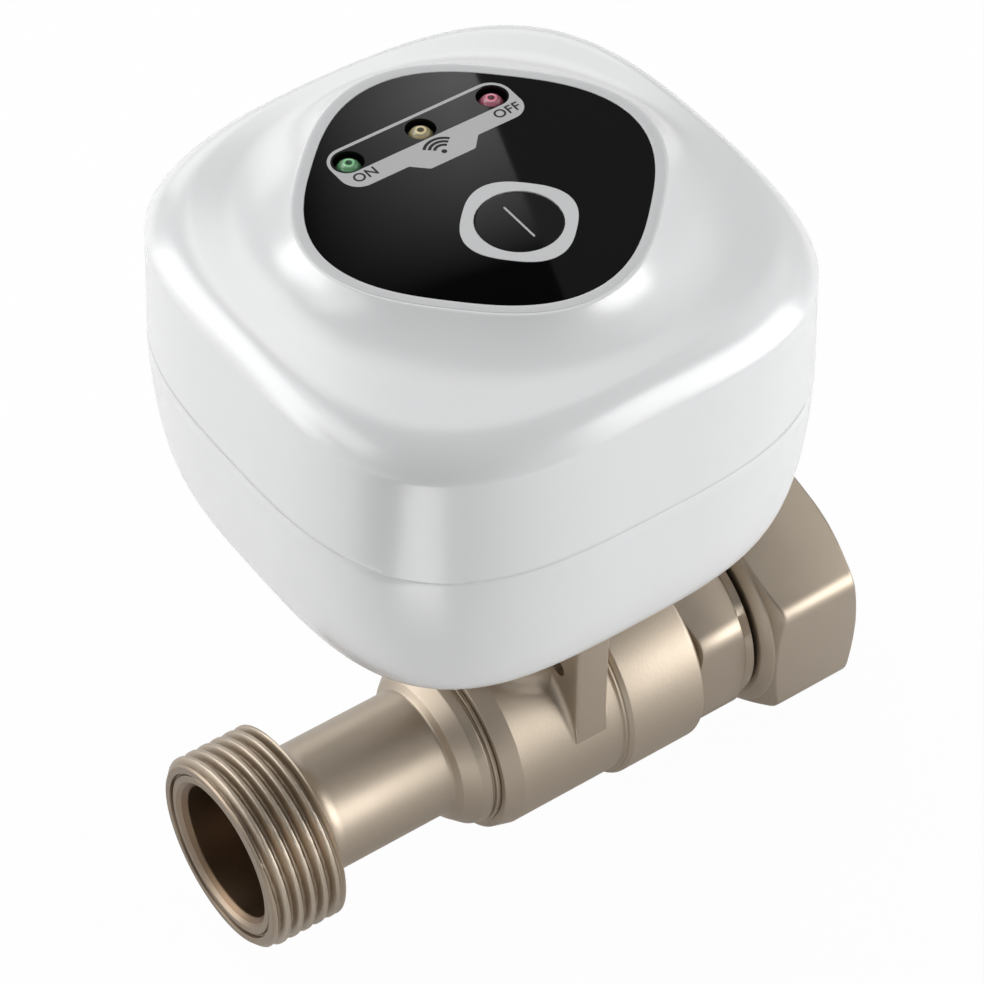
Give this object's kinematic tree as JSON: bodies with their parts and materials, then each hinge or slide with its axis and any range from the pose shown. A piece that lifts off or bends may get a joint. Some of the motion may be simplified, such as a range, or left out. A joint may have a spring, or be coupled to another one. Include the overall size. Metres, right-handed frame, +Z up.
{
  "type": "smart water valve",
  "caption": "Motor-driven brass ball valve with a male threaded inlet, a swivel union nut outlet and a white rounded actuator housing with a dark glass control panel.",
  "frame": {"origin": "on the pipe axis, halfway along the inlet thread", "axes": "X along the pipe from the inlet thread to the union nut, Z up the stem to the control panel, Y across"},
  "size_m": [0.1132, 0.0872, 0.1367],
  "materials": {
    "nickel_brass": "machined and forged brass, champagne nickel plate, semi-bright",
    "ball_plate": "hard-plated ball, mirror polished",
    "bare_brass": "turned bare brass",
    "ptfe": "white low-friction seat plastic",
    "seal_rubber": "black sealing rubber",
    "fibre": "dark fibre and rubber sealing washer",
    "spring_steel": "bright spring wire",
    "grey_casting": "bead-blasted light alloy",
    "steel": "brushed zinc-plated steel",
    "white_shell": "white moulded plastic, satin gloss",
    "panel_grey": "light grey painted trim",
    "panel_black": "black back-printed glass, polished",
    "button_black": "black gloss plastic",
    "light_green": "green tinted clear resin",
    "light_amber": "amber tinted clear resin",
    "light_red": "red tinted clear resin",
    "board": "green solder-masked board",
    "gear_white": "natural gear plastic",
    "switch_black": "black moulded switch plastic",
    "motor_can": "drawn steel can"
  },
  "bodies": {
    "valve": {"inlet_adapter": "nickel_brass", "valve_body": "nickel_brass", "seat_ring_inlet": "ptfe", "seat_ring_outlet": "ptfe", "thrust_washer": "ptfe", "packing_ring": "ptfe", "gland_nut": "bare_brass", "outlet_tail": "nickel_brass", "retaining_clip": "spring_steel", "tail_seal": "fibre", "union_gasket": "fibre", "yoke": "grey_casting", "lower_housing": "white_shell", "upper_housing": "white_shell", "housing_seal": "seal_rubber", "panel_bezel": "panel_grey", "panel_glass": "panel_black", "button_ring": "panel_grey", "tact_switch": "switch_black", "circuit_board": "board", "gear_plate_lower": "steel", "gear_plate_upper": "steel", "gear_axle": "steel", "motor": "motor_can", "limit_switch_open": "switch_black", "limit_switch_closed": "switch_black", "power_socket": "steel", "light_on": "light_green", "light_link": "light_amber", "light_off": "light_red", "plate_pillar_1": "steel", "plate_pillar_2": "steel", "plate_pillar_3": "steel", "plate_pillar_4": "steel"},
    "drive": {"output_gear": "gear_white", "stem": "bare_brass", "ball": "ball_plate", "shaft_coupling": "steel", "limit_cam": "switch_black", "stem_ring_lower": "seal_rubber", "stem_ring_upper": "seal_rubber"},
    "double_gear": {"double_gear": "gear_white"},
    "motor_pinion": {"motor_pinion": "bare_brass"},
    "union_nut": {"union_nut": "nickel_brass"},
    "button": {"button": "button_black", "tact_plunger": "switch_black"}
  },
  "joints": [
    {"name": "stem_turn", "type": "hinge", "parent": "valve", "child": "drive", "pos_m": [0.05055, 0, 0.064], "axis": [0, 0, 1], "range_deg": [0, 90]},
    {"name": "double_gear_turn", "type": "hinge", "parent": "valve", "child": "double_gear", "pos_m": [0.02055, 0, 0.067], "axis": [0, 0, 1], "range_deg": [-360, 0]},
    {"name": "motor_turn", "type": "hinge", "parent": "valve", "child": "motor_pinion", "pos_m": [0.03328, -0.01273, 0.071], "axis": [0, 0, 1], "range_deg": [0, 1260]},
    {"name": "union_nut_turn", "type": "hinge", "parent": "valve", "child": "union_nut", "pos_m": [0.095, 0, 0], "axis": [1, 0, 0], "continuous": true},
    {"name": "button_press", "type": "slide", "parent": "valve", "child": "button", "axis": [0, 0, -1], "range_m": [0, 0.0005], "stiffness_N_per_m": 400, "springref_m": -0.0005}
  ],
  "couplings": [
    {"joint": "double_gear_turn", "follows": "stem_turn", "ratio": -4},
    {"joint": "motor_turn", "follows": "stem_turn", "ratio": 14}
  ]
}
